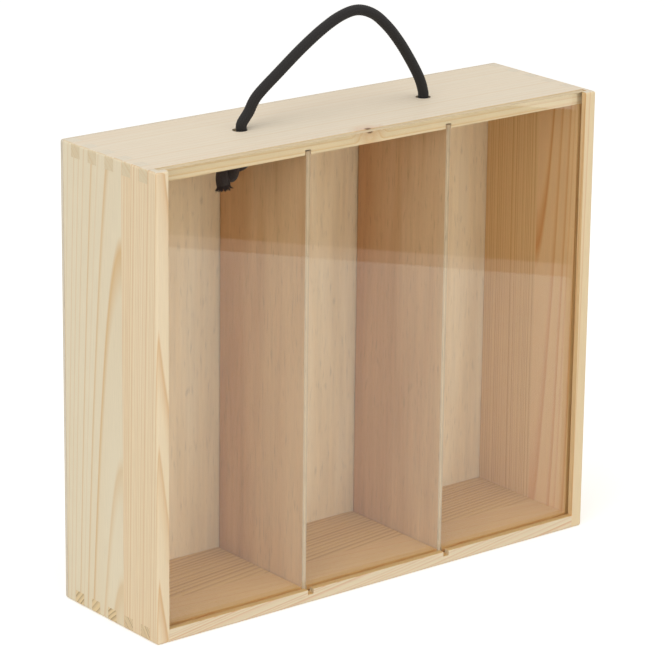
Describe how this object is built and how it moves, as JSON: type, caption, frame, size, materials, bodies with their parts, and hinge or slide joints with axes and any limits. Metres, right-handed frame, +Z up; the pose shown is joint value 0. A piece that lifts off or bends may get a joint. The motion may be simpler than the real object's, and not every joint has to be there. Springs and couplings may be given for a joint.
{
  "type": "beer bottle box",
  "caption": "Finger-jointed pine gift box with upright bottle bays, a clear front lid that slides up, and a knotted cord handle.",
  "frame": {"origin": "the middle of the base, centred across the width and the depth", "axes": "+Z up, -Y out of the clear front, +X to the right as seen from the front"},
  "size_m": [0.327, 0.094, 0.3426],
  "materials": {
    "pine": "bare planed and sanded pine, matte",
    "plywood": "bare thin plywood, matte",
    "clear_acrylic": "clear polished sheet",
    "black_cord": "matte braided cord",
    "pin_steel": "bright wire"
  },
  "bodies": {
    "case": {"back_panel": "plywood", "back_panel_pin_01": "pin_steel", "back_panel_pin_02": "pin_steel", "back_panel_pin_03": "pin_steel", "back_panel_pin_04": "pin_steel", "back_panel_pin_05": "pin_steel", "back_panel_pin_06": "pin_steel", "back_panel_pin_07": "pin_steel", "back_panel_pin_08": "pin_steel", "back_panel_pin_09": "pin_steel", "back_panel_pin_10": "pin_steel", "back_panel_pin_11": "pin_steel", "back_panel_pin_12": "pin_steel", "back_panel_pin_13": "pin_steel", "back_panel_pin_14": "pin_steel", "bottom_board": "pine", "divider_left": "plywood", "divider_right": "plywood", "left_side_board": "pine", "right_side_board": "pine", "rope_knot_left": "black_cord", "rope_knot_right": "black_cord", "top_board": "pine"},
    "lid": {"clear_sliding_lid": "clear_acrylic"},
    "handle": {"rope_handle": "black_cord"}
  },
  "joints": [
    {"name": "lid_slide", "type": "slide", "parent": "case", "child": "lid", "axis": [0, 0, 1], "range_m": [0, 0.34]},
    {"name": "handle_swing", "type": "hinge", "parent": "case", "child": "handle", "pos_m": [0, 0.00255, 0.28355], "axis": [1, 0, 0], "range_deg": [-85, 85], "stiffness_Nm_per_rad": 0.02}
  ]
}
